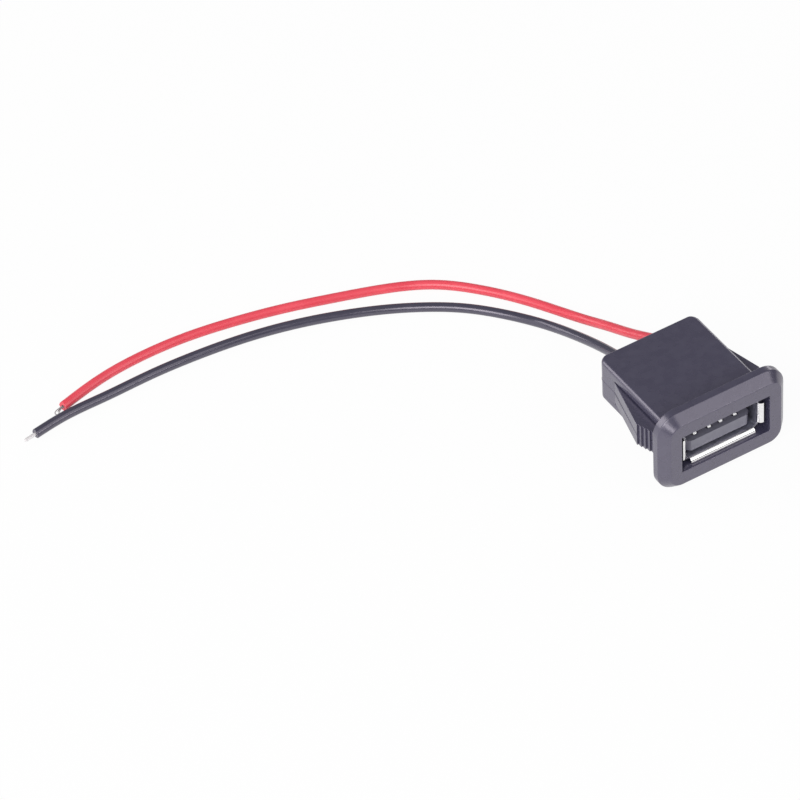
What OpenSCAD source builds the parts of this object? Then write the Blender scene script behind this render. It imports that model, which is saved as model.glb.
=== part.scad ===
// USB-A panel socket with a two-wire power lead.
// Millimetres, +Z up. The mouth faces -Y, the wires leave the rear face towards +Y,
// and Z = 0 is the surface that the bezel's lower edge and the wires lie on.

/* [Bezel] */
// Width of the bezel
bezel_w = 22; // [21.9:0.1:26]
// Height of the bezel
bezel_h = 14.3; // [12.5:0.1:18]
// Thickness from the front face to the panel seat
bezel_t = 2.7; // [2.4:0.1:4]
// Depth of the straight rim behind the bevel
bezel_rim = 1.25; // [0.6:0.05:1.8]
// Distance that the bevel runs in from the outline
bezel_bevel = 1.35; // [0.6:0.05:1.8]
// Corner radius of the outline
bezel_r = 3.4; // [2:0.1:3.5]
// Width of the window around the mouth
window_w = 15.3; // [14.4:0.1:16]
// Height of the window around the mouth
window_h = 6.9; // [6.85:0.05:7.5]
// Depth of the window's recess
window_d = 2.2; // [1.8:0.1:2.4]

/* [Body] */
// Width of the body behind the bezel
body_w = 17; // [16.5:0.1:18]
// Height of the body
body_h = 7.5; // [6.8:0.1:9]
// Height of the body's middle above the bezel's middle
body_lift = 0.1; // [0:0.05:0.3]
// Depth of the body behind the bezel
body_d = 17.9; // [17:0.1:24]
// Radius of the upright edges at the rear
body_r = 1.3; // [0.6:0.1:2.6]
// Radius of the long edges
edge_r = 0.6; // [0.1:0.05:0.8]
// Radius of the rear face's upper and lower edges
rear_r = 0.3; // [0.1:0.05:0.5]

/* [Snap arms] */
// Height of each arm
arm_h = 4.1; // [2.5:0.1:4.8]
// Thickness of each arm at its root
arm_t = 1.2; // [0.8:0.05:1.3]
// Depth of the arm's inner face inside the body's side, at the catch steps
arm_sunk = 0.3; // [0.1:0.05:0.4]
// Solid body length behind the arm's root
arm_root = 4.3; // [2:0.1:6]
// Distance that the arm's tip stands out from the body's side
arm_flare = 2.25; // [1.8:0.05:2.6]
// Distance from the panel seat to the arm's tip
arm_tip = 4.45; // [4.2:0.05:6]
// Number of catch steps
step_n = 6; // [3:1:6]
// Depth of each step towards the bezel
step_pitch = 0.73; // [0.5:0.01:0.8]
// Distance that each step runs in
step_in = 0.25; // [0.15:0.01:0.3]
// Depth of the pocket that the arm bends into
pocket_d = 1.25; // [0.9:0.05:1.4]
// Open gap above and below the arm
pocket_gap = 0.2; // [0.2:0.05:0.5]

/* [Shell] */
// Inside width of the shell
mouth_w = 12.5; // [12.2:0.05:12.7]
// Inside height of the shell
mouth_h = 5.12; // [5:0.02:5.2]
// Thickness of the sheet
shell_t = 0.3; // [0.2:0.01:0.35]
// Outside radius of the shell's corners
shell_r = 0.8; // [0.5:0.05:1]
// Length of the shell, lips included
shell_len = 13.6; // [13:0.1:14]
// Distance from the bezel's front face to the lips
shell_inset = 0.7; // [0.5:0.05:1.2]
// Radius of each lip's bend on the side of the mouth
lip_r = 0.74; // [0.6:0.01:0.75]
// Height of each lip above the inside face
lip_rise = 0.8; // [0.77:0.01:0.88]
// Length that each lip stops short of the mouth's corners
lip_short = 0.65; // [0.5:0.05:1]
// Width of each plug spring
spring_w = 2; // [1.5:0.1:2.4]
// Length of each plug spring
spring_len = 5.6; // [4:0.1:6]
// Distance that a plug spring bends in
spring_in = 0.35; // [0.2:0.05:0.4]
// Width of the slot around a plug spring
spring_slot = 0.3; // [0.2:0.05:0.5]
// Distance between the two springs on one wall
spring_pitch = 6; // [5:0.1:7]
// Distance from the lips to the springs' roots
spring_start = 3.2; // [2.5:0.1:4]

/* [Insulator] */
// Width of the tongue
tongue_w = 11.2; // [10.6:0.05:11.3]
// Thickness of the tongue
tongue_t = 1.9; // [1.7:0.02:2]
// Distance from the lips to the tongue's front
tongue_inset = 1.2; // [0.4:0.02:1.4]
// Bevel on the tongue's front corners
tongue_bevel = 0.75; // [0.2:0.05:0.8]
// Thickness of the block behind the mouth
block_t = 2.2; // [1.5:0.1:2.6]

/* [Contacts] */
// Width of each contact
contact_w = 1; // [0.7:0.05:1.1]
// Thickness of each contact
contact_t = 0.25; // [0.15:0.01:0.3]
// Width of a contact's tip
contact_tip_w = 0.5; // [0.4:0.05:0.7]
// Depth of a contact's face below the tongue's upper face
contact_sink = 0.05; // [0.02:0.01:0.1]
// Distance from the tongue's front to the contact tips
contact_inset = 0.95; // [0.8:0.05:1.6]
// Height of the contact crown
crown_h = 0.28; // [0.2:0.02:0.4]
// Length of the contact crown
crown_len = 2.6; // [2:0.1:3.5]
// Distance between the two inner contacts
inner_pitch = 2; // [1.9:0.05:2.2]
// Distance between the two outer contacts
outer_pitch = 7; // [6.8:0.05:7.2]
// Length of the solder tail behind the shell
tail_len = 2.4; // [2:0.1:2.8]

/* [Wires] */
// Outside diameter of each wire
wire_d = 1.5; // [1.3:0.05:1.6]
// Diameter of the bundle of strands
core_d = 0.5; // [0.4:0.02:0.55]
// Length of the solder joint along the tail
joint_len = 1.6; // [1:0.1:1.8]
// Radius of the solder joint
joint_r = 0.55; // [0.45:0.05:0.7]
// Length of bare strands on the red wire
red_bare = 1.3; // [0.5:0.1:5]
// Length of bare strands on the black wire
black_bare = 2; // [0.5:0.1:5]

/* [Clearances] */
// Gap between the moulding and what it encloses
mould_gap = 0.05; // [0.02:0.01:0.1]
// Gap between the insulator, the shell and the contacts
seat_gap = 0.04; // [0.02:0.01:0.08]

/* [Hidden] */
$fn = 48;
// Length by which cuts run past a face
over = 0.2;

plastic = "#2c2b31";
tongue_plastic = "#38373d";
steel = "#d5d5d8";
plating = "#d2d2d6";
tin = "#c9c6bf";
red_pvc = "#d8283a";
black_pvc = "#2e2d33";

// Planes along the depth of the socket, which is centred on the origin
socket_d = bezel_t + body_d;
front_y = -socket_d / 2;
rear_y = socket_d / 2;
seat_y = front_y + bezel_t;
rim_y = seat_y - bezel_rim;
lip_y = front_y + shell_inset;
shell_rear_y = lip_y + shell_len;
block_y = shell_rear_y - block_t;
tongue_y = lip_y + tongue_inset;
contact_y = tongue_y + contact_inset;
wire_y = shell_rear_y + tail_len;
arm_root_y = rear_y - arm_root;
arm_tip_y = seat_y + arm_tip;

// Heights: the contacts lie so that the wires' strands rest on their tails
mid_z = bezel_h / 2;
body_z = mid_z + body_lift;
contact_z = mid_z - core_d / 2;
tongue_z = contact_z + contact_sink;

shell_w = mouth_w + 2 * shell_t;
shell_h = mouth_h + 2 * shell_t;
wire_x = outer_pitch / 2;
power_x = wire_x;
data_minus_x = inner_pitch / 2;
data_plus_x = -inner_pitch / 2;
ground_x = -wire_x;
contact_places = [power_x, data_minus_x, data_plus_x, ground_x];

// Share of an arm's length by which both its faces run on into the body
arm_rooted = 0.1;

// Places along a spring and along a contact crown, as shares of its length
spring_crest = 0.75;
crown_rise = 0.13;
crown_fall = 0.55;

// Wire routes: distance to the side of the exit, distance behind it, and height of the
// wire's underside above the surface. Each wire falls to the surface and lies along it.
red_route = [
    [-1.3, 6.5, 4.1], [-2.2, 12.6, 1.9], [-3, 17, 0], [-5.8, 22.1, 0], [-8.8, 27.3, 0],
    [-13, 32.8, 0], [-17.6, 37.4, 0], [-24, 40.5, 0], [-31.4, 43, 0], [-39.3, 45.6, 0],
    [-47.4, 47.4, 0], [-55, 48.6, 0], [-62.9, 48.7, 0], [-70.1, 47.9, 0], [-77.3, 45.7, 0]
];
black_route = [
    [0.4, 8, 3.7], [-0.4, 14.3, 1.7], [-1.6, 20, 0], [-4.8, 24.6, 0], [-8.8, 29.3, 0],
    [-13.2, 32.8, 0], [-19.2, 36.4, 0], [-26.1, 39.4, 0], [-33, 41.7, 0], [-40.5, 43.3, 0],
    [-48.5, 44.1, 0], [-56.1, 44.4, 0], [-63.7, 43.9, 0], [-70.5, 44.1, 0], [-76.5, 42.9, 0]
];
// Straight length that a wire keeps behind its exit
straight_out = 1.5;
wire_sides = 8;
rings_per_span = 2;

// Bare strands: six around one, twisted
strand_n = 6;
strand_d = core_d / 3;
strand_overlap = 0.03;
strand_sides = 10;
strand_slices = 8;
twist_per_mm = 60;

// Extrudes an X-Z outline along Y
module along_y(y0, y1) {
    translate([0, y1, 0]) rotate([90, 0, 0]) linear_extrude(y1 - y0) children();
}

// Extrudes a Y-Z outline along X, centred
module along_x(w) {
    rotate([90, 0, 90]) linear_extrude(w, center = true) children();
}

// Swaps the two axes of an outline
module swapped() {
    mirror([1, -1]) children();
}

module both_sides() {
    children();
    mirror([1, 0, 0]) children();
}

module round_rect(w, h, r) {
    square([w - 2 * r, h], center = true);
    square([w, h - 2 * r], center = true);
    for (x = [-1, 1], z = [-1, 1])
        translate([x * (w / 2 - r), z * (h / 2 - r)]) circle(r);
}

// Bezel with its bevelled front, centred on the mouth's axis
module bezel() {
    inner_w = bezel_w - 2 * bezel_r;
    inner_h = bezel_h - 2 * bezel_r;
    translate([0, 0, mid_z]) {
        along_y(rim_y, seat_y) round_rect(bezel_w, bezel_h, bezel_r);
        along_x(inner_w) bevel_section(bezel_h / 2);
        linear_extrude(inner_h, center = true) swapped() bevel_section(bezel_w / 2);
        for (x = [-1, 1], z = [-1, 1])
            translate([x * inner_w / 2, front_y, z * inner_h / 2]) rotate([-90, 0, 0])
                cylinder(h = rim_y - front_y, r1 = bezel_r - bezel_bevel, r2 = bezel_r);
    }
}

// Section of the bevelled front, rooted in the rim: depth along the first axis, half-width along the second
module bevel_section(half) {
    root_y = rim_y + bezel_rim / 2;
    polygon([
        [root_y, -half], [rim_y, -half], [front_y, bezel_bevel - half],
        [front_y, half - bezel_bevel], [rim_y, half], [root_y, half]
    ]);
}

// Body behind the bezel, rooted in the bezel's rim
module body() {
    body_y = seat_y - bezel_rim / 2;
    translate([0, 0, body_z]) intersection() {
        along_y(body_y, rear_y) round_rect(body_w, body_h, edge_r);
        linear_extrude(body_h, center = true) rear_rounded(body_w, body_y, body_r);
        along_x(body_w) swapped() rear_rounded(body_h, body_y, rear_r);
    }
}

// Outline from y0 to the rear face, with its two rear corners rounded
module rear_rounded(w, y0, r) {
    translate([-w / 2, y0]) square([w, rear_y - r - y0]);
    translate([r - w / 2, y0]) square([w - 2 * r, rear_y - y0]);
    for (x = [-1, 1])
        translate([x * (w / 2 - r), rear_y - r]) circle(r);
}

// Pocket in the right side, which lets the arm bend in
module arm_pocket() {
    pocket_h = arm_h + 2 * pocket_gap;
    translate([body_w / 2 - pocket_d, seat_y, body_z - pocket_h / 2])
        cube([pocket_d + over, arm_root_y - seat_y, pocket_h]);
}

// Right arm: it leaves the side wall, leans out to its tip and steps back in towards the bezel
module snap_arm() {
    root_x = body_w / 2;
    tip_x = root_x + arm_flare;
    last = step_n - 1;
    nose_y = arm_tip_y - last * step_pitch;
    root = [
        [root_x - arm_t - arm_rooted * (arm_t - arm_sunk), arm_root_y + arm_rooted * (arm_root_y - nose_y)],
        [root_x - arm_rooted * arm_flare, arm_root_y + arm_rooted * (arm_root_y - arm_tip_y)]
    ];
    steps = [
        for (i = [0:last - 1]) each [
            [tip_x - i * step_in, arm_tip_y - i * step_pitch],
            [tip_x - (i + 1) * step_in, arm_tip_y - i * step_pitch]
        ]
    ];
    nose = [[tip_x - last * step_in, nose_y], [root_x - arm_sunk, nose_y]];
    translate([0, 0, body_z - arm_h / 2]) linear_extrude(arm_h)
        polygon(concat(root, steps, nose));
}

// Space that the receptacle, its tails, joints and wires take up in the moulding
module housing_cavity() {
    translate([0, 0, mid_z]) {
        along_y(front_y - over, front_y + window_d) square([window_w, window_h], center = true);
        along_y(front_y, shell_rear_y + mould_gap)
            round_rect(shell_w + 2 * mould_gap, shell_h + 2 * mould_gap, shell_r + mould_gap);
    }
    for (x = contact_places)
        translate([x - contact_w / 2 - mould_gap, shell_rear_y, contact_z - contact_t - mould_gap])
            cube([contact_w + 2 * mould_gap, tail_len + mould_gap, contact_t + 2 * mould_gap]);
    for (x = [power_x, ground_x]) {
        joint_solid(x, mould_gap);
        translate([x, wire_y - mould_gap, mid_z]) rotate([-90, 0, 0])
            cylinder(h = rear_y - wire_y + over, d = wire_d + 2 * mould_gap);
    }
}

module housing() {
    color(plastic) {
        difference() {
            union() {
                bezel();
                body();
            }
            housing_cavity();
            both_sides() arm_pocket();
        }
        both_sides() snap_arm();
    }
}

// Section of a turned-out lip: depth along the first axis, height above the wall's inside second
module lip_section() {
    translate([lip_y, lip_r]) square([shell_t, lip_rise - lip_r]);
    translate([lip_y + lip_r, 0]) square([over, shell_t]);
    intersection() {
        translate([lip_y + lip_r, lip_r]) difference() {
            circle(lip_r);
            circle(lip_r - shell_t);
        }
        translate([lip_y, 0]) square(lip_r);
    }
}

// Section of a plug spring, rooted in the wall in front of its slot
module spring_section() {
    root = lip_y + spring_start;
    crest = root + spring_crest * spring_len;
    tip = root + spring_len;
    polygon([
        [root - over, 0], [root, 0], [crest, -spring_in], [tip, -spring_in / 2],
        [tip, shell_t - spring_in / 2], [crest, shell_t - spring_in], [root, shell_t],
        [root - over, shell_t]
    ]);
}

module spring_slots() {
    for (x = [-1, 1])
        translate([x * spring_pitch / 2 - spring_w / 2 - spring_slot, lip_y + spring_start, -shell_h])
            cube([spring_w + 2 * spring_slot, spring_len + spring_slot, 2 * shell_h]);
}

// One wide wall's lip and springs
module wide_wall() {
    translate([0, 0, mouth_h / 2]) {
        along_x(mouth_w - 2 * lip_short) lip_section();
        for (x = [-1, 1])
            translate([x * spring_pitch / 2, 0, 0]) along_x(spring_w) spring_section();
    }
}

module usb_shell() {
    inner_r = shell_r - shell_t;
    color(steel) translate([0, 0, mid_z]) {
        difference() {
            along_y(lip_y + lip_r, shell_rear_y) round_rect(shell_w, shell_h, shell_r);
            along_y(lip_y, shell_rear_y + over) round_rect(mouth_w, mouth_h, inner_r);
            spring_slots();
        }
        wide_wall();
        mirror([0, 0, 1]) wide_wall();
        both_sides() linear_extrude(mouth_h - 2 * lip_short, center = true)
            translate([mouth_w / 2, 0]) swapped() lip_section();
    }
}

// Tongue with a groove for each contact
module tongue() {
    half = tongue_w / 2;
    difference() {
        translate([0, 0, tongue_z - tongue_t]) linear_extrude(tongue_t) polygon([
            [-half, block_y + over], [-half, tongue_y + tongue_bevel], [tongue_bevel - half, tongue_y],
            [half - tongue_bevel, tongue_y], [half, tongue_y + tongue_bevel], [half, block_y + over]
        ]);
        contact_channels(tongue_z + over);
    }
}

// Block that closes the shell and holds the contacts
module block() {
    difference() {
        translate([0, 0, mid_z]) along_y(block_y, shell_rear_y) round_rect(
            mouth_w - 2 * seat_gap, mouth_h - 2 * seat_gap, shell_r - shell_t
        );
        contact_channels(contact_z + seat_gap);
    }
}

// Room for the four contacts, from under them up to a given height
module contact_channels(top_z) {
    for (x = contact_places)
        translate([x - contact_w / 2 - seat_gap, contact_y - seat_gap, contact_z - contact_t])
            cube([
                contact_w + 2 * seat_gap, shell_rear_y - contact_y + over,
                top_z - contact_z + contact_t
            ]);
}

module insulator() {
    color(tongue_plastic) {
        tongue();
        block();
    }
}

// Contact at a given place: a strip with a narrowed tip, a crown behind it and a tail for the wire
module contact(x) {
    face = [
        [contact_y, 0], [contact_y + crown_rise * crown_len, crown_h],
        [contact_y + crown_fall * crown_len, crown_h], [contact_y + crown_len, 0], [wire_y, 0]
    ];
    under = [for (i = [len(face) - 1:-1:0]) face[i] - [0, contact_t]];
    full_y = contact_y + crown_fall * crown_len;
    outline = [
        [-contact_tip_w / 2, contact_y], [contact_tip_w / 2, contact_y], [contact_w / 2, full_y],
        [contact_w / 2, wire_y], [-contact_w / 2, wire_y], [-contact_w / 2, full_y]
    ];
    color(plating) translate([x, 0, contact_z]) intersection() {
        along_x(contact_w) polygon(concat(face, under));
        translate([0, 0, -contact_t]) linear_extrude(contact_t + crown_h) polygon(outline);
    }
}

module contact_power() {
    contact(power_x);
}

module contact_data_minus() {
    contact(data_minus_x);
}

module contact_data_plus() {
    contact(data_plus_x);
}

module contact_ground() {
    contact(ground_x);
}

// Solder over a tail and its wire's strands, grown all round by a gap
module joint_solid(x, gap) {
    r = joint_r + gap;
    translate([x, 0, contact_z]) along_y(wire_y - joint_len - gap, wire_y) intersection() {
        circle(r);
        translate([-r, -gap]) square([2 * r, r + gap]);
    }
}

module red_solder_joint() {
    color(tin) joint_solid(power_x, 0);
}

module black_solder_joint() {
    color(tin) joint_solid(ground_x, 0);
}

// Points of a wire: its straight stretch through the moulding, then its route behind the exit
function wire_points(x, route) = concat(
    [[x, wire_y, mid_z], [x, rear_y, mid_z], [x, rear_y + straight_out, mid_z]],
    [for (p = route) [x + p[0], rear_y + p[1], p[2] + wire_d / 2]]
);

// Smooth curve near the points, from the first to the last (uniform cubic B-spline)
function spline_at(a, b, c, d, t) = (
    a * pow(1 - t, 3) + b * (3 * pow(t, 3) - 6 * pow(t, 2) + 4)
    + c * (1 + 3 * t + 3 * pow(t, 2) - 3 * pow(t, 3)) + d * pow(t, 3)
) / 6;

function smooth(points) = let (
    n = len(points) - 1,
    ends = concat([2 * points[0] - points[1]], points, [2 * points[n] - points[n - 1]])
) [
    for (i = [0:n - 1], s = [0:rings_per_span - 1])
        spline_at(ends[i], ends[i + 1], ends[i + 2], ends[i + 3], s / rings_per_span),
    points[n]
];

function unit(v) = v / norm(v);

function heading(path, i) = unit(path[min(i + 1, len(path) - 1)] - path[max(i - 1, 0)]);

// Ring of points around a path, with one point straight down
function ring(path, i, r) = let (
    along = heading(path, i),
    side = unit(cross(along, [0, 0, 1])),
    up = cross(side, along)
) [
    for (k = [0:wire_sides - 1])
        path[i] + r * (cos(360 * k / wire_sides) * side + sin(360 * k / wire_sides) * up)
];

// Round tube along a path, closed at both ends
module tube(path, r) {
    last = len(path) - 1;
    points = [for (i = [0:last]) each ring(path, i, r)];
    walls = [
        for (i = [0:last - 1], k = [0:wire_sides - 1]) let (
            a = i * wire_sides + k,
            b = i * wire_sides + (k + 1) % wire_sides
        ) each [[a, b, b + wire_sides], [a, b + wire_sides, a + wire_sides]]
    ];
    caps = [
        [for (k = [wire_sides - 1:-1:0]) k],
        [for (k = [0:wire_sides - 1]) last * wire_sides + k]
    ];
    polyhedron(points, concat(walls, caps));
}

// Bare twisted strands that continue a path past its last point
module strands(path, bare) {
    last = len(path) - 1;
    along = heading(path, last);
    translate(path[last]) rotate([0, 90, atan2(along[1], along[0])])
        linear_extrude(bare, twist = twist_per_mm * bare, slices = strand_slices, $fn = strand_sides) {
            circle(d = strand_d + strand_overlap, $fn = strand_sides);
            for (k = [0:strand_n - 1])
                rotate(360 * k / strand_n) translate([strand_d, 0])
                    circle(d = strand_d + strand_overlap, $fn = strand_sides);
        }
}

red_path = smooth(wire_points(power_x, red_route));
black_path = smooth(wire_points(ground_x, black_route));

module red_wire() {
    color(red_pvc) tube(red_path, wire_d / 2);
}

module black_wire() {
    color(black_pvc) tube(black_path, wire_d / 2);
}

module red_wire_end() {
    color(tin) strands(red_path, red_bare);
}

module black_wire_end() {
    color(tin) strands(black_path, black_bare);
}

housing();
usb_shell();
insulator();
contact_power();
contact_data_minus();
contact_data_plus();
contact_ground();
red_solder_joint();
black_solder_joint();
red_wire();
black_wire();
red_wire_end();
black_wire_end();
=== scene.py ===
"""Looks of a USB-A panel socket with a two-wire power lead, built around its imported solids.

Lengths are in millimetres until a mesh is made, in the frame of the solids: +Z up, the mouth faces -Y.
"""

import math

import bmesh
import bpy
import numpy as np
from mathutils import Matrix, Vector


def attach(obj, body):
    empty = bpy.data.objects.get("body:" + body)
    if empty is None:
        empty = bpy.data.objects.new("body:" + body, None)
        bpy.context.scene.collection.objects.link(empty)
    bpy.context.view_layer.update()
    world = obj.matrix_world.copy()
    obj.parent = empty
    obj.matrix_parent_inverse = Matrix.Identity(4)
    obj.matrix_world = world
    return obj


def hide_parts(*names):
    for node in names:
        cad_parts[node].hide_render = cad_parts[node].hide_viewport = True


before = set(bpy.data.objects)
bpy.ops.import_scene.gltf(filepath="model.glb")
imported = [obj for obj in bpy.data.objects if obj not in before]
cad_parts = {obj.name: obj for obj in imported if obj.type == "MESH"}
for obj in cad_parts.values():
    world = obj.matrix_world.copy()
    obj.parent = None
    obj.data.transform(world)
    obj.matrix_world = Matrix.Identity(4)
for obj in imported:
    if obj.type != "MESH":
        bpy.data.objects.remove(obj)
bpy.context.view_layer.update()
scene = bpy.context.scene

MM = 0.001
BODY = "root"
UP = np.array([0.0, 0.0, 1.0])

# Camera: where it stands, its azimuth, elevation and roll in degrees, its lens and its sensor's width
CAMERA_AT = (-284.39, -425.18, 493.93)
CAMERA_AIM = (-29.104, 43.518, -3.86)
LENS, SENSOR_W = 217.67, 36
NEAREST, FURTHEST = 10, 20000

# Socket: planes along its depth, heights of its middle and its body's, and sizes as in the solids
FRONT_Y, REAR_Y, SEAT_Y, RIM_Y = -10.3, 10.3, -7.6, -8.85
MID_Z, BODY_Z = 7.15, 7.25
BEZEL = (22.0, 14.3, 3.4)
BEVEL = 1.35
WINDOW = (15.3, 6.9, 0.12)
WINDOW_DEPTH = 2.2
TUNNEL = (13.2, 5.82, 0.85)
TUNNEL_END_Y = 4.05
BODY_W, BODY_H, BODY_R, EDGE_R, REAR_R = 17.0, 7.5, 1.3, 0.6, 0.3
ARM_H, ARM_T, ARM_SUNK, ARM_FLARE = 4.1, 1.2, 0.3, 2.25
ARM_ROOT_Y, ARM_TIP_Y = 6.0, -3.15
STEPS, STEP_PITCH, STEP_IN = 6, 0.73, 0.25
POCKET_D, POCKET_GAP = 1.25, 0.2

# Rounding of the moulding's edges, and the line where its two halves meet
CREASE_R, WINDOW_EDGE_R, RIM_EDGE_R, ARM_EDGE_R = 0.3, 0.12, 0.18, 0.09
MOULD_LINE_W, MOULD_LINE_H = 0.16, 0.05

# Wires: the route's points behind each exit, as in the solids, and the black wire's bare length
WIRE_D, CORE_D, WIRE_X, WIRE_Y, STRAIGHT_OUT = 1.5, 0.5, 3.5, 6.4, 1.5
BLACK_BARE = 2.0
RINGS_PER_SPAN = 6
RED_ROUTE = [
    (-1.3, 6.5, 4.1), (-2.2, 12.6, 1.9), (-3, 17, 0), (-5.8, 22.1, 0), (-8.8, 27.3, 0),
    (-13, 32.8, 0), (-17.6, 37.4, 0), (-24, 40.5, 0), (-31.4, 43, 0), (-39.3, 45.6, 0),
    (-47.4, 47.4, 0), (-55, 48.6, 0), (-62.9, 48.7, 0), (-70.1, 47.9, 0), (-77.3, 45.7, 0),
]
BLACK_ROUTE = [
    (0.4, 8, 3.7), (-0.4, 14.3, 1.7), (-1.6, 20, 0), (-4.8, 24.6, 0), (-8.8, 29.3, 0),
    (-13.2, 32.8, 0), (-19.2, 36.4, 0), (-26.1, 39.4, 0), (-33, 41.7, 0), (-40.5, 43.3, 0),
    (-48.5, 44.1, 0), (-56.1, 44.4, 0), (-63.7, 43.9, 0), (-70.5, 44.1, 0), (-76.5, 42.9, 0),
]

# Floor, sky and lamps; each lamp's azimuth, elevation, distance, width, height and power
FLOOR_Z, FLOOR_R, FLOOR_SIDES = -0.02, 3000, 96
FLOOR_WHITE, FLOOR_ROUGH, FLOOR_GLOW = 0.9, 0.9, 0.95
SKY = 0.23
LAMPS_AIM = Vector((-25, 15, 3))
LAMPS = {
    "fill": (-50, 38, 900, 600, 600, 4.8),
    "front": (36, 50, 900, 520, 640, 1.15),
    "strip": (32, 24, 900, 570, 160, 1.1),
    "side": (-85, 22, 900, 900, 900, 2.0),
    "left_back": (-135, 30, 900, 420, 800, 2.6),
    "right_back": (131, 11, 900, 300, 220, 0.6),
}


# Camera

def axes(azimuth, elevation, roll=0.0):
    """Right, up and back of something that looks down at the origin from there."""
    a, e, r = (math.radians(x) for x in (azimuth, elevation, roll))
    back = Vector((math.sin(a) * math.cos(e), -math.cos(a) * math.cos(e), math.sin(e)))
    right = Vector((math.cos(a), math.sin(a), 0))
    up = back.cross(right)
    return math.cos(r) * right + math.sin(r) * up, math.cos(r) * up - math.sin(r) * right, back


def facing(data, name, at, turned):
    """A camera or lamp at a place, turned by its axes."""
    made = bpy.data.objects.new(name, data)
    made.matrix_world = Matrix.Translation(Vector(at) * MM) @ Matrix(turned).transposed().to_4x4()
    scene.collection.objects.link(made)
    return made


lens = bpy.data.cameras.new("camera")
lens.lens, lens.sensor_width = LENS, SENSOR_W
lens.clip_start, lens.clip_end = NEAREST * MM, FURTHEST * MM
scene.camera = facing(lens, "camera", CAMERA_AT, axes(*CAMERA_AIM))


# Materials

# Range that a noise's values mostly fill
NOISE_LOW, NOISE_HIGH = 0.3, 0.7


def new_material(name):
    made = bpy.data.materials.new(name)
    made.use_nodes = True
    return made, made.node_tree, made.node_tree.nodes["Principled BSDF"]


def noise(tree, scale, detail=3.0, stretch=(1, 1, 1)):
    """Noise over the surface, with features about 1/scale metres across."""
    place = tree.nodes.new("ShaderNodeTexCoord")
    sized = tree.nodes.new("ShaderNodeMapping")
    sized.inputs["Scale"].default_value = stretch
    made = tree.nodes.new("ShaderNodeTexNoise")
    made.inputs["Scale"].default_value = scale
    made.inputs["Detail"].default_value = detail
    tree.links.new(place.outputs["Object"], sized.inputs["Vector"])
    tree.links.new(sized.outputs["Vector"], made.inputs["Vector"])
    return made.outputs["Fac"]


def spread(tree, value, low, high):
    """A noise's values, spread from low to high."""
    made = tree.nodes.new("ShaderNodeMapRange")
    ends = (("From Min", NOISE_LOW), ("From Max", NOISE_HIGH), ("To Min", low), ("To Max", high))
    for name, x in ends:
        made.inputs[name].default_value = x
    tree.links.new(value, made.inputs["Value"])
    return made.outputs["Result"]


def tint(tree, value, *colours):
    """Two colours along a noise's values."""
    made = tree.nodes.new("ShaderNodeValToRGB")
    for element, place, colour in zip(made.color_ramp.elements, (NOISE_LOW, NOISE_HIGH), colours):
        element.position, element.color = place, (*colour, 1)
    tree.links.new(value, made.inputs["Fac"])
    return made.outputs["Color"]


def bump(tree, shader, value, depth, strength):
    """A relief of a given depth in millimetres."""
    made = tree.nodes.new("ShaderNodeBump")
    made.inputs["Strength"].default_value = strength
    made.inputs["Distance"].default_value = depth * MM
    tree.links.new(value, made.inputs["Height"])
    tree.links.new(made.outputs["Normal"], shader.inputs["Normal"])


def plastic(name, dark, light, rough, grain, depth, mottle=700, ior=1.5, sheen=(1, 1, 1)):
    """Moulded plastic with a fine grain and a faint unevenness of colour and gloss."""
    made, tree, shader = new_material(name)
    shader.inputs["IOR"].default_value = ior
    shader.inputs["Specular Tint"].default_value = (*sheen, 1)
    patches = noise(tree, mottle, detail=4)
    tree.links.new(tint(tree, patches, dark, light), shader.inputs["Base Color"])
    tree.links.new(spread(tree, patches, *rough), shader.inputs["Roughness"])
    bump(tree, shader, noise(tree, grain, detail=2), depth, strength=0.6)
    return made


def metal(name, dark, light, rough, grain, depth, stretch=(1, 1, 1), metallic=1.0):
    """Bare or plated metal with a drawn grain; a dull one is less metallic."""
    made, tree, shader = new_material(name)
    shader.inputs["Metallic"].default_value = metallic
    drawn = noise(tree, grain, stretch=stretch)
    tree.links.new(tint(tree, drawn, dark, light), shader.inputs["Base Color"])
    tree.links.new(spread(tree, drawn, *rough), shader.inputs["Roughness"])
    bump(tree, shader, drawn, depth, strength=0.4)
    return made


def painted_shade_inside(material, from_y, to_y, dark, light, rough, mottle=2500):
    """Paints shade into a metal towards a depth, darker there, and makes it rougher as well."""
    tree = material.node_tree
    shader = tree.nodes["Principled BSDF"]
    place, split = tree.nodes.new("ShaderNodeTexCoord"), tree.nodes.new("ShaderNodeSeparateXYZ")
    tree.links.new(place.outputs["Object"], split.inputs["Vector"])
    deep = tree.nodes.new("ShaderNodeMapRange")
    deep.inputs["From Min"].default_value = from_y * MM
    deep.inputs["From Max"].default_value = to_y * MM
    tree.links.new(split.outputs["Y"], deep.inputs["Value"])
    patches = noise(tree, mottle)
    # The darker colour mixed in here is painted shade; the roughness mixed in is a real duller surface
    for kind, end, socket, dull in (
        ("RGBA", "Color", shader.inputs["Base Color"], tint(tree, patches, dark, light)),
        ("FLOAT", "Float", shader.inputs["Roughness"], spread(tree, patches, *rough)),
    ):
        both = tree.nodes.new("ShaderNodeMix")
        both.data_type = kind
        sockets = {s.identifier: s for s in (*both.inputs, *both.outputs)}
        bright = socket.links[0].from_socket
        tree.links.new(deep.outputs["Result"], sockets["Factor_Float"])
        tree.links.new(bright, sockets[f"A_{end}"])
        tree.links.new(dull, sockets[f"B_{end}"])
        tree.links.new(sockets[f"Result_{end}"], socket)


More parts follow.
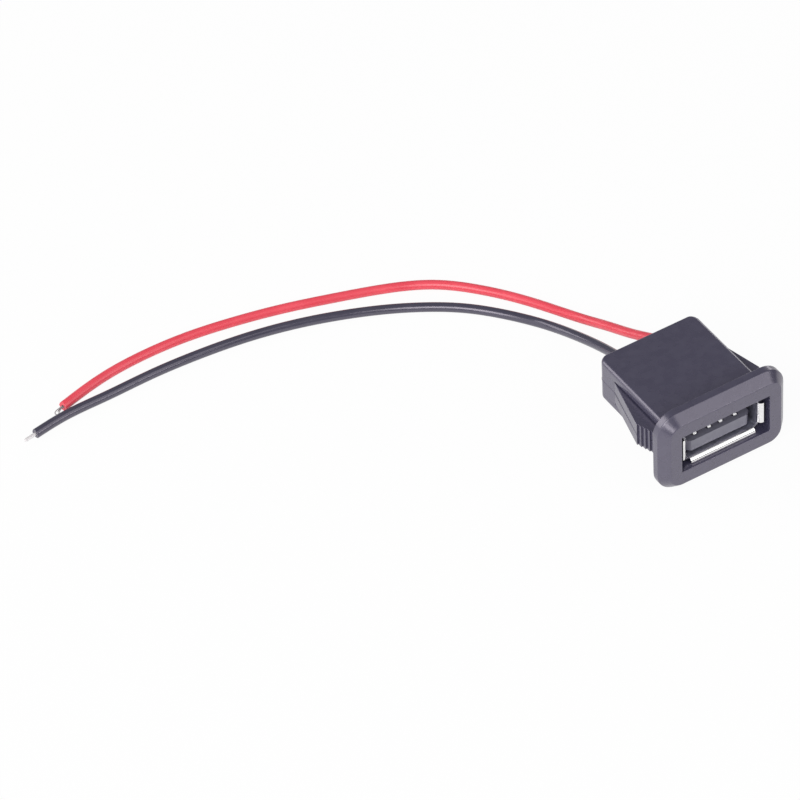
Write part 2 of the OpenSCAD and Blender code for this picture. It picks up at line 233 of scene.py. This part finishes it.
COOL_SHEEN = (0.98, 0.91, 1.0)
housing_plastic = plastic(
    "moulded_black", (0.046, 0.043, 0.078), (0.056, 0.053, 0.090), rough=(0.24, 0.32),
    grain=6000, depth=0.004, ior=2.0, sheen=COOL_SHEEN)
# The tongue is black plastic; its grey colour here is painted light
tongue_plastic = plastic(
    "tongue_painted_light", (0.172, 0.167, 0.212), (0.197, 0.192, 0.240), rough=(0.28, 0.36),
    grain=6000, depth=0.004, ior=1.7)
red_pvc = plastic(
    "red_insulation", (0.84, 0.072, 0.105), (0.90, 0.088, 0.125), rough=(0.26, 0.36),
    grain=3500, depth=0.0004, mottle=260, ior=1.6)
black_pvc = plastic(
    "black_insulation", (0.046, 0.043, 0.070), (0.058, 0.055, 0.084), rough=(0.17, 0.23),
    grain=3500, depth=0.0004, mottle=260, ior=1.8, sheen=COOL_SHEEN)
steel = metal(
    "bright_steel", (0.78, 0.77, 0.77), (0.90, 0.89, 0.89), rough=(0.08, 0.16),
    grain=4000, depth=0.002, stretch=(0.06, 1, 1))
plating = metal(
    "contact_plating", (0.84, 0.84, 0.84), (0.94, 0.94, 0.94), rough=(0.12, 0.22),
    grain=4000, depth=0.002, stretch=(1, 0.08, 1))
tin = metal(
    "tinned_copper", (0.78, 0.75, 0.76), (0.88, 0.85, 0.86), rough=(0.40, 0.55),
    grain=5000, depth=0.003, metallic=0.3)
# A darker copy of the tinned copper, for the loose strands: painted shade
shaded_tin = metal(
    "loose_strands", (0.34, 0.31, 0.32), (0.48, 0.45, 0.46), rough=(0.40, 0.55),
    grain=5000, depth=0.003, metallic=0.3)
# Painted shade on the steel inside the mouth, behind the lips
painted_shade_inside(
    steel, from_y=-9.10, to_y=-8.70, dark=(0.37, 0.37, 0.45), light=(0.45, 0.45, 0.53), rough=(0.45, 0.60))


# Meshes

# Distances within which points are one, and the angle from which an edge stays sharp
SAME_POINT, SAME_EDGE, SHARP_FROM = 1e-4, 1e-5, math.radians(50)


def unit(v):
    return v / np.linalg.norm(v)


def piece(name, bm, material, slot, *nodes):
    """A mesh object in the frame, with its material, riding on the part and standing for those nodes."""
    bmesh.ops.remove_doubles(bm, verts=bm.verts, dist=SAME_POINT)
    bmesh.ops.dissolve_degenerate(bm, edges=bm.edges, dist=SAME_EDGE)
    bmesh.ops.recalc_face_normals(bm, faces=bm.faces)
    bmesh.ops.scale(bm, vec=(MM, MM, MM), verts=bm.verts)
    mesh = bpy.data.meshes.new(name)
    bm.to_mesh(mesh)
    bm.free()
    mesh.shade_smooth()
    mesh.set_sharp_from_angle(angle=SHARP_FROM)
    mesh.materials.append(material)
    made = bpy.data.objects.new(name, mesh)
    scene.collection.objects.link(made)
    level = made.modifiers.new("flat_faces", "WEIGHTED_NORMAL")
    level.keep_sharp = True
    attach(made, BODY)
    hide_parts(*nodes)
    return made


def add_rings(bm, rings):
    """Joins rings of as many points each into a closed skin."""
    rows = [[bm.verts.new(p) for p in ring] for ring in rings]
    n = len(rows[0])
    for a, b in zip(rows, rows[1:]):
        for k in range(n):
            bm.faces.new((a[k], a[(k + 1) % n], b[(k + 1) % n], b[k]))
    bm.faces.new(rows[0][::-1])
    bm.faces.new(rows[-1])


# Wires

def wire_points(x, route):
    """The route's own points, from inside the moulding to the end of the insulation."""
    start = [(x, WIRE_Y, MID_Z), (x, REAR_Y, MID_Z), (x, REAR_Y + STRAIGHT_OUT, MID_Z)]
    return np.array(start + [(x + a, REAR_Y + b, c + WIRE_D / 2) for a, b, c in route])


def smooth(points, per_span):
    """Uniform cubic B-spline from the first point to the last."""
    ends = np.vstack([2 * points[0] - points[1], points, 2 * points[-1] - points[-2]])
    line = []
    for i in range(len(points) - 1):
        for t in np.arange(per_span) / per_span:
            weights = (
                (1 - t) ** 3, 3 * t ** 3 - 6 * t ** 2 + 4, 1 + 3 * t + 3 * t ** 2 - 3 * t ** 3, t ** 3)
            line.append(sum(w * p for w, p in zip(weights, ends[i:i + 4])) / 6)
    return np.array(line + [points[-1]])


def headings(line):
    return [unit(line[min(i + 1, len(line) - 1)] - line[max(i - 1, 0)]) for i in range(len(line))]


def sideways(ahead):
    """Level and upward directions across a line."""
    side = unit(np.cross(ahead, UP))
    return side, np.cross(side, ahead)


def ring_around(centre, ahead, radius, sides):
    side, up = sideways(ahead)
    turns = 2 * math.pi * np.arange(sides) / sides
    return [centre + radius * (math.cos(a) * side + math.sin(a) * up) for a in turns]


def insulation(name, line, material, slot, node, seed):
    """Insulated wire along a line: a round tube with an uneven cut end and a bore for the strands."""
    sides, lip, bore, bore_depth, uneven = 28, 0.07, CORE_D / 2 + 0.04, 0.9, 0.04
    rng = np.random.default_rng(seed)
    radius, ahead = WIRE_D / 2, headings(line)
    rings = [ring_around(p, a, radius, sides) for p, a in zip(line[:-1], ahead)]
    tip, last = line[-1], ahead[-1]
    torn = rng.normal(0, uneven, sides)
    torn = (torn + np.roll(torn, 1) + np.roll(torn, 2)) / 2
    for turn in (0, 25, 50, 70, 90):
        a = math.radians(turn)
        edge = ring_around(tip, last, radius - lip * (1 - math.cos(a)), sides)
        rings.append([q + last * (t - lip * (1 - math.sin(a))) for q, t in zip(edge, torn)])
    rings.append([q + last * t / 2 for q, t in zip(ring_around(tip, last, bore, sides), torn)])
    rings.append(ring_around(tip - last * bore_depth, last, bore, sides))
    bm = bmesh.new()
    add_rings(bm, rings)
    return piece(name, bm, material, slot, node)


def add_strand(bm, line, diameter):
    """One fine strand along a line, with rounded tips."""
    sides, ahead = 10, headings(line)
    rings = [ring_around(p, a, diameter / 2, sides) for p, a in zip(line, ahead)]
    first = ring_around(line[0] - ahead[0] * diameter / 4, ahead[0], diameter / 4, sides)
    last = ring_around(line[-1] + ahead[-1] * diameter / 4, ahead[-1], diameter / 4, sides)
    add_rings(bm, [first, *rings, last])


def twisted_strands(name, line, node):
    """Six strands around one that stay twisted together past the end of the insulation."""
    strand, overlap, twist, sunk = CORE_D / 3, 0.05, math.radians(60), 0.8
    around, points, stagger = 6, 24, 0.09
    tip, ahead = line[-1], unit(line[-1] - line[-2])
    side, up = sideways(ahead)
    bm = bmesh.new()
    for k in range(around + 1):
        off = 0 if k == 0 else strand
        cut = BLACK_BARE - stagger * (k % 3)
        path = []
        for s in np.linspace(-sunk, cut, points):
            a = 2 * math.pi * k / around + twist * s
            path.append(tip + ahead * s + off * (math.cos(a) * side + math.sin(a) * up))
        add_strand(bm, np.array(path), strand + overlap)
    return piece(name, bm, tin, "tin", node)


def loose_strands(name, line, node):
    """Strands that came apart: three fine ones stand out and curl, and the rest are cut short."""
    strand, sunk = 0.16, 0.8
    tip, ahead = line[-1], unit(line[-1] - line[-2])
    side, up = sideways(ahead)
    # Offsets from the wire's end, ahead, to the side and up, for the strands that stand out
    curls = [
        [
            (-sunk, 0.02, 0.1), (0, 0, 0.12), (0.5, 0.08, 0.12), (0.95, 0.16, 0.05),
            (1.4, 0.24, -0.1), (1.68, 0.12, -0.32), (1.5, -0.22, -0.47), (1.3, -0.45, -0.5),
        ],
        [
            (-sunk, -0.12, 0), (0, -0.12, 0), (0.4, -0.1, 0), (0.75, -0.12, -0.12),
            (1.05, -0.16, -0.3), (1.25, -0.25, -0.45),
        ],
        [(-sunk, 0.1, -0.1), (0, 0.12, -0.1), (0.4, 0.08, -0.08), (0.8, 0.05, -0.1), (1.1, 0, -0.2)],
    ]
    # Lengths of the short ones, and their places around the wire in degrees
    stubs = {200: 0.06, 255: 0.12, 310: 0.03, 365: 0.09}
    bm = bmesh.new()
    for curl in curls:
        points = np.array([tip + ahead * a + side * b + up * c for a, b, c in curl])
        add_strand(bm, smooth(points, RINGS_PER_SPAN), strand)
    for turn, cut in stubs.items():
        a = math.radians(turn)
        at = tip + strand * (math.cos(a) * side + math.sin(a) * up)
        add_strand(bm, np.array([at - ahead * sunk, at, at + ahead * cut]), strand)
    return piece(name, bm, shaded_tin, "tin", node)


def lead(colour, x, route, material, strands, seed):
    """One wire of the lead, with its bare strands."""
    line = smooth(wire_points(x, route), RINGS_PER_SPAN)
    wire = insulation(f"{colour}_lead", line, material, f"{colour}_insulation", f"{colour}_wire", seed)
    bare = strands(f"{colour}_strands", line, f"{colour}_wire_end")


lead("red", WIRE_X, RED_ROUTE, red_pvc, loose_strands, seed=3)
lead("black", -WIRE_X, BLACK_ROUTE, black_pvc, twisted_strands, seed=8)


# Moulding

def socket_ring(y, w, h, r, pocket=0.0, middle=MID_Z):
    """One outline around a middle height, with points along both sides where the arms' pockets are cut."""
    arc, edge, straight = 10, 0.1, BODY_H / 2 - EDGE_R
    top, step = (ARM_H / 2 + POCKET_GAP) / straight, edge / straight
    # Share of the straight side, and depth, of each point of a pocket
    cut = [(top + step, 0.0), (top, edge), (top, POCKET_D - edge), (top - step, POCKET_D)]
    cut += [(-f, d) for f, d in reversed(cut)]
    points = []
    for sx, sz, start in ((1, 1, 0), (-1, 1, 90), (-1, -1, 180), (1, -1, 270)):
        for k in range(arc + 1):
            a = math.radians(start + 90 * k / arc)
            x, z = sx * (w / 2 - r) + r * math.cos(a), sz * (h / 2 - r) + r * math.sin(a)
            points.append((x, y, middle + z))
        if sx != sz:
            points += [(sx * (w / 2 - pocket * d), y, middle + sz * f * (h / 2 - r)) for f, d in cut]
    return points


def rounded_profile(corners, steps=6):
    """Points of a line whose corners are rounded; each corner is its place and its radius."""
    line = []
    for i, (p, r) in enumerate(corners):
        p = np.array(p, float)
        if r == 0:
            line.append(p)
            continue
        a = unit(np.array(corners[i - 1][0]) - p)
        b = unit(np.array(corners[i + 1][0]) - p)
        half = math.acos(float(a @ b)) / 2
        centre = p + unit(a + b) * r / math.sin(half)
        first, last = p + a * r / math.tan(half) - centre, p + b * r / math.tan(half) - centre
        turn = math.pi - 2 * half
        for s in np.linspace(0, 1, steps + 1):
            swung = math.sin((1 - s) * turn) * first + math.sin(s * turn) * last
            line.append(centre + swung / math.sin(turn))
    return line


def socket_skin():
    """Rings from the end of the mouth's tunnel, out over the bezel, and back along the body to its rear."""
    rings = [socket_ring(y, *TUNNEL) for y in (TUNNEL_END_Y, FRONT_Y + WINDOW_DEPTH)]
    # Recess: its floor, its wall, and the rounded edge at the front face
    w, h, r = WINDOW
    rings.append(socket_ring(FRONT_Y + WINDOW_DEPTH, w, h, r))
    for turn in range(0, 91, 15):
        a = math.radians(turn)
        out, back = WINDOW_EDGE_R * (1 - math.cos(a)), WINDOW_EDGE_R * (1 - math.sin(a))
        rings.append(socket_ring(FRONT_Y + back, w + 2 * out, h + 2 * out, r + out))
    # Front face, bevel, rim and seat: distance in from the outline, and depth
    front_in, seat_in, least_r = 2.4, 1, 0.25
    profile = rounded_profile([
        ((front_in, FRONT_Y), 0), ((BEVEL, FRONT_Y), CREASE_R), ((0, RIM_Y), CREASE_R),
        ((0, SEAT_Y), RIM_EDGE_R), ((seat_in, SEAT_Y), 0),
    ])
    w, h, r = BEZEL
    rings += [socket_ring(y, w - 2 * s, h - 2 * s, max(r - s, least_r)) for s, y in profile]
    # Body, with its pockets, and its rounded rear
    for y, pocket in ((SEAT_Y, 1), (ARM_ROOT_Y, 1), (ARM_ROOT_Y, 0), (REAR_Y - BODY_R, 0)):
        rings.append(socket_ring(y, BODY_W, BODY_H, EDGE_R, pocket, BODY_Z))
    for turn in (*range(8, 56, 8), *range(56, 91, 4)):
        y = REAR_Y - BODY_R * (1 - math.sin(math.radians(turn)))
        narrow = BODY_R * (1 - math.cos(math.radians(turn)))
        past = max(0.0, y - (REAR_Y - REAR_R))
        low = REAR_R - math.sqrt(max(REAR_R ** 2 - past ** 2, 0))
        rings.append(socket_ring(y, BODY_W - 2 * narrow, BODY_H - 2 * low, EDGE_R - low, 0, BODY_Z))
    return rings


def arm_outline():
    """The right arm from above, clockwise: root, outer face, catch steps, nose and inner face."""
    root_x, tip_x, last = BODY_W / 2, BODY_W / 2 + ARM_FLARE, STEPS - 1
    # The root lies just under the body's side, and the outer face comes out of it
    under, behind = 0.05, 0.2
    points = [
        (root_x - ARM_T, ARM_ROOT_Y + ARM_T), (root_x - under, ARM_ROOT_Y + ARM_T),
        (root_x - under, ARM_ROOT_Y + behind),
    ]
    for i in range(last):
        points += [(tip_x - k * STEP_IN, ARM_TIP_Y - i * STEP_PITCH) for k in (i, i + 1)]
    nose_x, nose_y = tip_x - last * STEP_IN, ARM_TIP_Y - last * STEP_PITCH
    points += [(nose_x, nose_y), (root_x - ARM_SUNK, nose_y), (root_x - ARM_T, ARM_ROOT_Y)]
    return np.array(points)


def inset(points, distance):
    """A closed outline moved in by a distance; it runs clockwise, seen from above."""
    moved = []
    for before, p, after in zip(np.roll(points, 1, 0), points, np.roll(points, -1, 0)):
        a, b = unit(p - before), unit(after - p)
        na, nb = np.array([a[1], -a[0]]), np.array([b[1], -b[0]])
        moved.append(p + distance * (na + nb) / (1 + na @ nb))
    return np.array(moved)


def add_arms(bm):
    """Both arms, with their upper and lower edges rounded."""
    outline = arm_outline()
    upper = [(math.radians(a), 1) for a in range(0, 91, 30)]
    lower = [(a, -1) for a, _ in reversed(upper)]
    for mirrored in (1, -1):
        rings = []
        for a, way in upper + lower:
            z = BODY_Z + way * (ARM_H / 2 - ARM_EDGE_R * (1 - math.cos(a)))
            level = inset(outline, ARM_EDGE_R * (1 - math.sin(a)))
            rings.append([(mirrored * x, y, z) for x, y in level])
        add_rings(bm, rings)


def mould_line():
    """Where the mould's halves meet, seen from above: from one arm's tip round the rear to the other's."""
    side_x, corner_x, corner_y = BODY_W / 2, BODY_W / 2 - BODY_R, REAR_Y - BODY_R
    behind = 0.1
    half = [(side_x + ARM_FLARE, ARM_TIP_Y), (side_x, ARM_ROOT_Y + behind), (side_x, corner_y)]
    for turn in range(10, 91, 10):
        a = math.radians(turn)
        half.append((corner_x + BODY_R * math.cos(a), corner_y + BODY_R * math.sin(a)))
    return np.array(half + [(-x, y) for x, y in reversed(half)])


def add_mould_line(bm):
    """A low ridge along the mould line."""
    line, rings, inside = mould_line(), [], np.array([0, FRONT_Y])
    for p, along in zip(line, headings(line)):
        out = np.array([along[1], -along[0]])
        out = out if out @ (p - inside) > 0 else -out
        ring = []
        for stand, rise in ((MOULD_LINE_H, 0), (0, 0.5), (-MOULD_LINE_H, 0), (0, -0.5)):
            ring.append((*(p + out * stand), BODY_Z + rise * MOULD_LINE_W))
        rings.append(ring)
    add_rings(bm, rings)


moulding = bmesh.new()
add_rings(moulding, socket_skin())
add_arms(moulding)
add_mould_line(moulding)
piece("moulding", moulding, housing_plastic, "housing_plastic", "housing")

# The receptacle inside stays as it is, with these finishes; the tongue's grey is painted light, and the
# shell's inside has painted shade
finishes = {
    "usb_shell": steel, "insulator": tongue_plastic,
    "red_solder_joint": tin, "black_solder_joint": tin,
    "contact_power": plating, "contact_data_minus": plating,
    "contact_data_plus": plating, "contact_ground": plating,
}
for node, finish in finishes.items():
    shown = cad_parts[node]
    shown.data.materials.clear()
    shown.data.materials.append(finish)


# Floor

floor_mesh = bpy.data.meshes.new("floor")
turns = 2 * math.pi * np.arange(FLOOR_SIDES) / FLOOR_SIDES
rim = [(FLOOR_R * MM * math.cos(a), FLOOR_R * MM * math.sin(a), FLOOR_Z * MM) for a in turns]
floor_mesh.from_pydata(rim, [], [range(FLOOR_SIDES)])
floor = bpy.data.objects.new("floor", floor_mesh)
scene.collection.objects.link(floor)
paper, tree, shader = new_material("paper")
shader.inputs["Base Color"].default_value = (FLOOR_WHITE, FLOOR_WHITE, FLOOR_WHITE, 1)
shader.inputs["Roughness"].default_value = FLOOR_ROUGH
shader.inputs["Specular IOR Level"].default_value = 0.0
# What the camera sees, also in gloss and through glass, is mostly plain white, and the rest keeps the shadow
rays = tree.nodes.new("ShaderNodeLightPath")
seen = rays.outputs["Is Camera Ray"]
for ray in ("Is Glossy Ray", "Is Transmission Ray"):
    either = tree.nodes.new("ShaderNodeMath")
    either.operation = "MAXIMUM"
    tree.links.new(seen, either.inputs[0])
    tree.links.new(rays.outputs[ray], either.inputs[1])
    seen = either.outputs["Value"]
share = tree.nodes.new("ShaderNodeMath")
share.operation = "MULTIPLY"
share.inputs[1].default_value = FLOOR_GLOW
tree.links.new(seen, share.inputs[0])
white = tree.nodes.new("ShaderNodeEmission")
white.inputs["Strength"].default_value = 1.0
blend = tree.nodes.new("ShaderNodeMixShader")
tree.links.new(share.outputs["Value"], blend.inputs["Fac"])
tree.links.new(shader.outputs["BSDF"], blend.inputs[1])
tree.links.new(white.outputs["Emission"], blend.inputs[2])
tree.links.new(blend.outputs["Shader"], tree.nodes["Material Output"].inputs["Surface"])
floor_mesh.materials.append(paper)


# Sky and lamps

world = bpy.data.worlds.new("studio")
world.use_nodes = True
world.node_tree.nodes["Background"].inputs["Color"].default_value = (SKY, SKY, SKY, 1)
scene.world = world

for name, (azimuth, elevation, distance, width, height, power) in LAMPS.items():
    lamp = bpy.data.lights.new(name, "AREA")
    lamp.shape = "RECTANGLE"
    lamp.size, lamp.size_y, lamp.energy = width * MM, height * MM, power
    turned = axes(azimuth, elevation)
    facing(lamp, name, LAMPS_AIM + turned[2] * distance, turned)

scene.view_settings.view_transform = "Standard"
